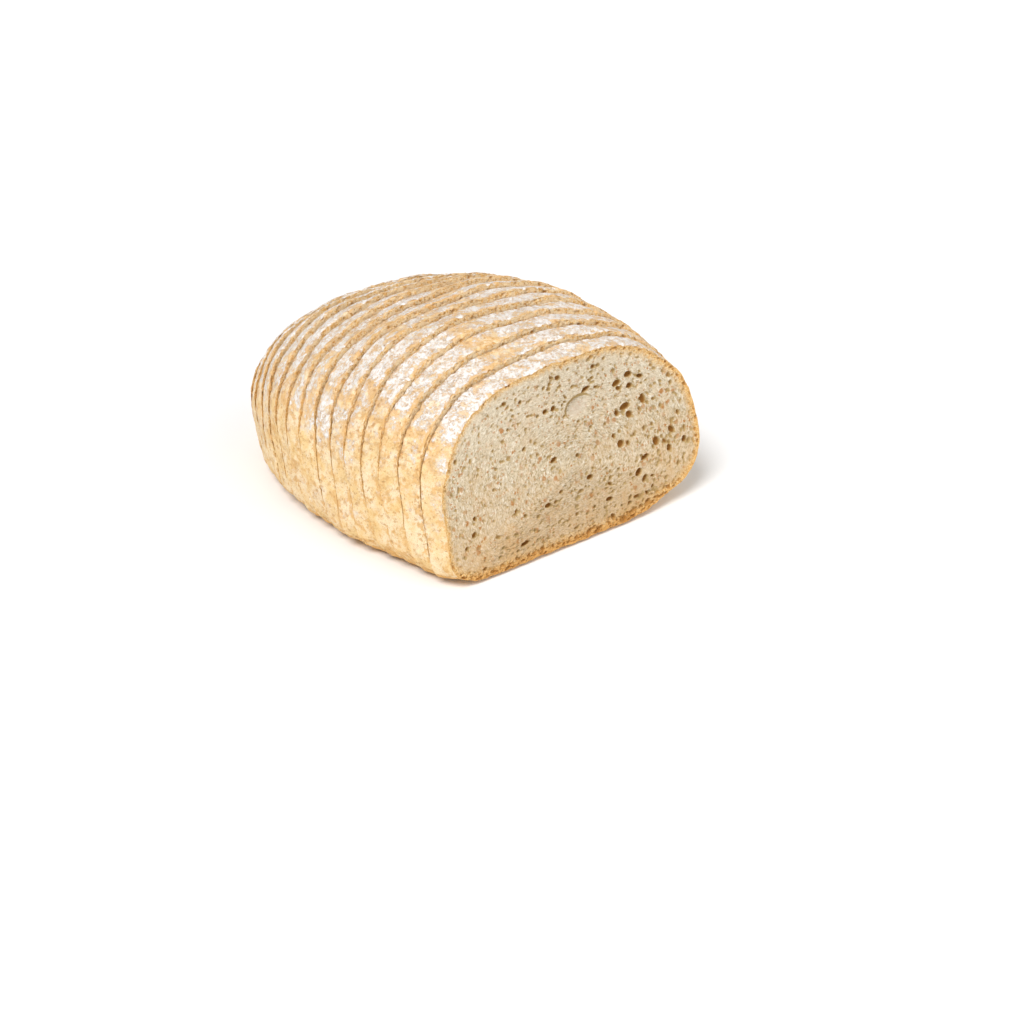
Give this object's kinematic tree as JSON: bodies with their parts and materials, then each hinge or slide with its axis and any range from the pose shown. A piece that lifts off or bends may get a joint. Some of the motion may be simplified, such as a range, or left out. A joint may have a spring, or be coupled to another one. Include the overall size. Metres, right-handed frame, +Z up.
{
  "type": "loaf of bread",
  "caption": "Oval floured loaf cut into slices that still stand together, leaning back, with an open cut face in front and a domed heel behind.",
  "frame": {"origin": "on the surface that the loaf stands on, below the middle of its box", "axes": "+Y from the first cut face towards the heel, +Z up, +X to the right as seen from in front of the first cut face"},
  "size_m": [0.1892, 0.2028, 0.1058],
  "materials": {
    "sliced_bread": "matte, floured golden crust round a pale open crumb",
    "heel_crust": "matte, golden crust dusted with flour"
  },
  "bodies": {
    "root": {"slice_01": "sliced_bread", "slice_02": "sliced_bread", "slice_03": "sliced_bread", "slice_04": "sliced_bread", "slice_05": "sliced_bread", "slice_06": "sliced_bread", "slice_07": "sliced_bread", "slice_08": "sliced_bread", "slice_09": "sliced_bread", "slice_10": "sliced_bread", "slice_11": "sliced_bread", "slice_12": "sliced_bread", "slice_13": "sliced_bread", "slice_14": "sliced_bread", "slice_15": "sliced_bread", "slice_16": "sliced_bread", "heel": "heel_crust"}
  },
  "joints": []
}
